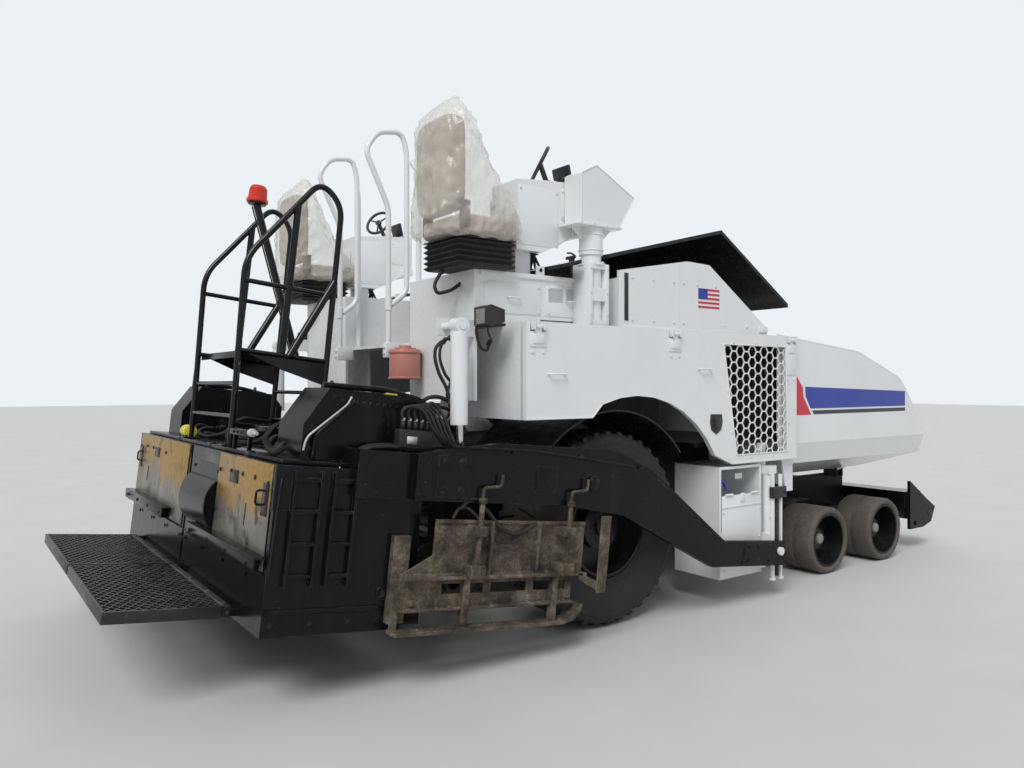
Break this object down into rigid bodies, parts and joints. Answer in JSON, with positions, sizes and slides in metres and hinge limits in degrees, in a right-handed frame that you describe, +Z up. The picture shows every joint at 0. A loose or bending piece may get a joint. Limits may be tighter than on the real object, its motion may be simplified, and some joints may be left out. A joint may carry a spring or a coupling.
{
  "type": "asphalt paver",
  "caption": "Wheeled asphalt paver with front hopper, push rollers, bogie wheels, large drive tyres, twin operator stations and a towed extending screed with a grated walkway.",
  "frame": {"origin": "on the ground, under the middle of the overall length and width", "axes": "+X forward to the hopper, +Y to the machine's left, +Z up"},
  "size_m": [7.4524, 3.33, 3.339],
  "materials": {
    "frame_black": "satin",
    "engine_grey": "rough",
    "floor_steel": "worn",
    "chain_steel": "worn",
    "body_white": "gloss",
    "deck_white": "gloss",
    "hood_white": "gloss",
    "stack_white": "gloss",
    "rail_white": "gloss",
    "push_black": "satin",
    "axle_black": "satin",
    "auger_frame_black": "satin",
    "column_white": "gloss",
    "lamp_black": "gloss",
    "canister_red": "faded",
    "seat_fabric": "soft",
    "console_white": "gloss",
    "cover_film": "clear wrinkled film",
    "door_white": "gloss",
    "lid_white": "gloss",
    "wing_white": "gloss",
    "drive_rubber": "dusty",
    "rim_black": "satin",
    "solid_rubber": "dusty",
    "front_rim_black": "satin",
    "knuckle_black": "rough",
    "roller_black": "worn",
    "auger_steel": "worn",
    "arm_black": "satin",
    "screed_black": "satin",
    "rail_black": "gloss",
    "beacon_orange": "translucent",
    "walkway_black": "satin",
    "extension_black": "worn",
    "gate_steel": "crusted",
    "lift_white": "gloss",
    "rod_chrome": "polished"
  },
  "bodies": {
    "tractor": {"main_frame": "frame_black", "engine_block": "engine_grey", "conveyor_floor": "floor_steel", "conveyor_chains": "chain_steel", "body_shell": "body_white", "deck": "deck_white", "hood_walls": "hood_white", "vent_stack": "stack_white", "handrails": "rail_white", "push_beam": "push_black", "axles": "axle_black", "auger_frame": "auger_frame_black", "tow_columns": "column_white", "lamps": "lamp_black", "canister": "canister_red", "seats": "seat_fabric", "consoles": "console_white", "seat_covers": "cover_film"},
    "door_left": {"door_left": "door_white"},
    "door_right": {"door_right": "door_white"},
    "hood_lid": {"hood_lid": "lid_white"},
    "wing_left": {"wing_left": "wing_white"},
    "wing_right": {"wing_right": "wing_white"},
    "drive_wheel_left": {"drive_tyre_left": "drive_rubber", "drive_rim_left": "rim_black"},
    "drive_wheel_right": {"drive_tyre_right": "drive_rubber", "drive_rim_right": "rim_black"},
    "knuckle_1": {"knuckle_1": "knuckle_black"},
    "front_wheel_1": {"front_tyre_1": "solid_rubber", "front_rim_1": "front_rim_black"},
    "knuckle_2": {"knuckle_2": "knuckle_black"},
    "front_wheel_2": {"front_tyre_2": "solid_rubber", "front_rim_2": "front_rim_black"},
    "knuckle_3": {"knuckle_3": "knuckle_black"},
    "front_wheel_3": {"front_tyre_3": "solid_rubber", "front_rim_3": "front_rim_black"},
    "knuckle_4": {"knuckle_4": "knuckle_black"},
    "front_wheel_4": {"front_tyre_4": "solid_rubber", "front_rim_4": "front_rim_black"},
    "push_roller_left": {"push_roller_left": "roller_black"},
    "push_roller_right": {"push_roller_right": "roller_black"},
    "auger_left": {"auger_left": "auger_steel"},
    "auger_right": {"auger_right": "auger_steel"},
    "screed": {"tow_arms": "arm_black", "screed_frame": "screed_black", "screed_rails": "rail_black", "beacon": "beacon_orange"},
    "extension_left": {"extension_left": "extension_black", "end_gate_left": "gate_steel"},
    "walkway_left": {"walkway_left": "walkway_black"},
    "extension_right": {"extension_right": "extension_black", "end_gate_right": "gate_steel"},
    "walkway_right": {"walkway_right": "walkway_black"},
    "lift_barrels": {"lift_barrels": "lift_white"},
    "lift_rods": {"lift_rods": "rod_chrome"}
  },
  "joints": [
    {"name": "door_left_hinge", "type": "hinge", "parent": "tractor", "child": "door_left", "pos_m": [-0.75026, 1.548, 1.94], "axis": [1, 0, 0], "range_deg": [0, 95]},
    {"name": "door_right_hinge", "type": "hinge", "parent": "tractor", "child": "door_right", "pos_m": [-0.75026, -1.548, 1.94], "axis": [-1, 0, 0], "range_deg": [0, 95]},
    {"name": "hood_lid_hinge", "type": "hinge", "parent": "tractor", "child": "hood_lid", "pos_m": [-1.24026, 0, 2.32], "axis": [0, -1, 0], "range_deg": [-5, 0]},
    {"name": "wing_left_fold", "type": "hinge", "parent": "tractor", "child": "wing_left", "pos_m": [-0.75026, 0.745, 0.77], "axis": [1, 0, 0], "range_deg": [0, 45]},
    {"name": "wing_right_fold", "type": "hinge", "parent": "tractor", "child": "wing_right", "pos_m": [-0.75026, -0.745, 0.77], "axis": [-1, 0, 0], "range_deg": [0, 45]},
    {"name": "drive_wheel_left_spin", "type": "hinge", "parent": "tractor", "child": "drive_wheel_left", "pos_m": [-0.75026, 1.215, 0.65], "axis": [0, 1, 0], "continuous": true},
    {"name": "drive_wheel_right_spin", "type": "hinge", "parent": "tractor", "child": "drive_wheel_right", "pos_m": [-0.75026, -1.215, 0.65], "axis": [0, 1, 0], "continuous": true},
    {"name": "steer_1", "type": "hinge", "parent": "tractor", "child": "knuckle_1", "pos_m": [1.76374, 0.985, 0.28], "axis": [0, 0, 1], "range_deg": [-20, 20]},
    {"name": "front_wheel_1_spin", "type": "hinge", "parent": "knuckle_1", "child": "front_wheel_1", "pos_m": [1.76374, 1.242, 0.28], "axis": [0, 1, 0], "continuous": true},
    {"name": "steer_2", "type": "hinge", "parent": "tractor", "child": "knuckle_2", "pos_m": [2.64174, 0.985, 0.28], "axis": [0, 0, 1], "range_deg": [-20, 20]},
    {"name": "front_wheel_2_spin", "type": "hinge", "parent": "knuckle_2", "child": "front_wheel_2", "pos_m": [2.64174, 1.242, 0.28], "axis": [0, 1, 0], "continuous": true},
    {"name": "steer_3", "type": "hinge", "parent": "tractor", "child": "knuckle_3", "pos_m": [1.76374, -0.985, 0.28], "axis": [0, 0, 1], "range_deg": [-20, 20]},
    {"name": "front_wheel_3_spin", "type": "hinge", "parent": "knuckle_3", "child": "front_wheel_3", "pos_m": [1.76374, -1.242, 0.28], "axis": [0, 1, 0], "continuous": true},
    {"name": "steer_4", "type": "hinge", "parent": "tractor", "child": "knuckle_4", "pos_m": [2.64174, -0.985, 0.28], "axis": [0, 0, 1], "range_deg": [-20, 20]},
    {"name": "front_wheel_4_spin", "type": "hinge", "parent": "knuckle_4", "child": "front_wheel_4", "pos_m": [2.64174, -1.242, 0.28], "axis": [0, 1, 0], "continuous": true},
    {"name": "push_roller_left_spin", "type": "hinge", "parent": "tractor", "child": "push_roller_left", "pos_m": [3.62574, 0.7, 0.33], "axis": [0, 1, 0], "continuous": true},
    {"name": "push_roller_right_spin", "type": "hinge", "parent": "tractor", "child": "push_roller_right", "pos_m": [3.62574, -0.7, 0.33], "axis": [0, 1, 0], "continuous": true},
    {"name": "auger_left_spin", "type": "hinge", "parent": "tractor", "child": "auger_left", "pos_m": [-1.91526, 0.7, 0.45], "axis": [0, 1, 0], "continuous": true},
    {"name": "auger_right_spin", "type": "hinge", "parent": "tractor", "child": "auger_right", "pos_m": [-1.91526, -0.7, 0.45], "axis": [0, 1, 0], "continuous": true},
    {"name": "screed_lift", "type": "hinge", "parent": "tractor", "child": "screed", "pos_m": [0.74974, 0, 0.356], "axis": [0, 1, 0], "range_deg": [-4.5, 1]},
    {"name": "extension_left_slide", "type": "slide", "parent": "screed", "child": "extension_left", "axis": [0, 1, 0], "range_m": [0, 1.15]},
    {"name": "walkway_left_fold", "type": "hinge", "parent": "extension_left", "child": "walkway_left", "pos_m": [-3.15307, 0.6, 0.45222], "axis": [0, 1, 0], "range_deg": [0, 88]},
    {"name": "extension_right_slide", "type": "slide", "parent": "screed", "child": "extension_right", "axis": [0, -1, 0], "range_m": [0, 1.15]},
    {"name": "walkway_right_fold", "type": "hinge", "parent": "extension_right", "child": "walkway_right", "pos_m": [-3.15307, -0.6, 0.45222], "axis": [0, 1, 0], "range_deg": [0, 88]},
    {"name": "lift_barrel_swing", "type": "hinge", "parent": "tractor", "child": "lift_barrels", "pos_m": [-1.95026, 0, 1.93], "axis": [0, 1, 0], "range_deg": [-1, 3.82]},
    {"name": "lift_rod_slide", "type": "slide", "parent": "lift_barrels", "child": "lift_rods", "axis": [0, 0, -1], "range_m": [-0.0506, 0.2174]}
  ],
  "couplings": [
    {"joint": "steer_2", "follows": "steer_1", "ratio": 1},
    {"joint": "steer_3", "follows": "steer_1", "ratio": 1},
    {"joint": "steer_4", "follows": "steer_1", "ratio": 1},
    {"joint": "lift_barrel_swing", "follows": "screed_lift", "ratio": -0.805},
    {"joint": "lift_rod_slide", "follows": "screed_lift", "m_per_rad": -2.73}
  ]
}
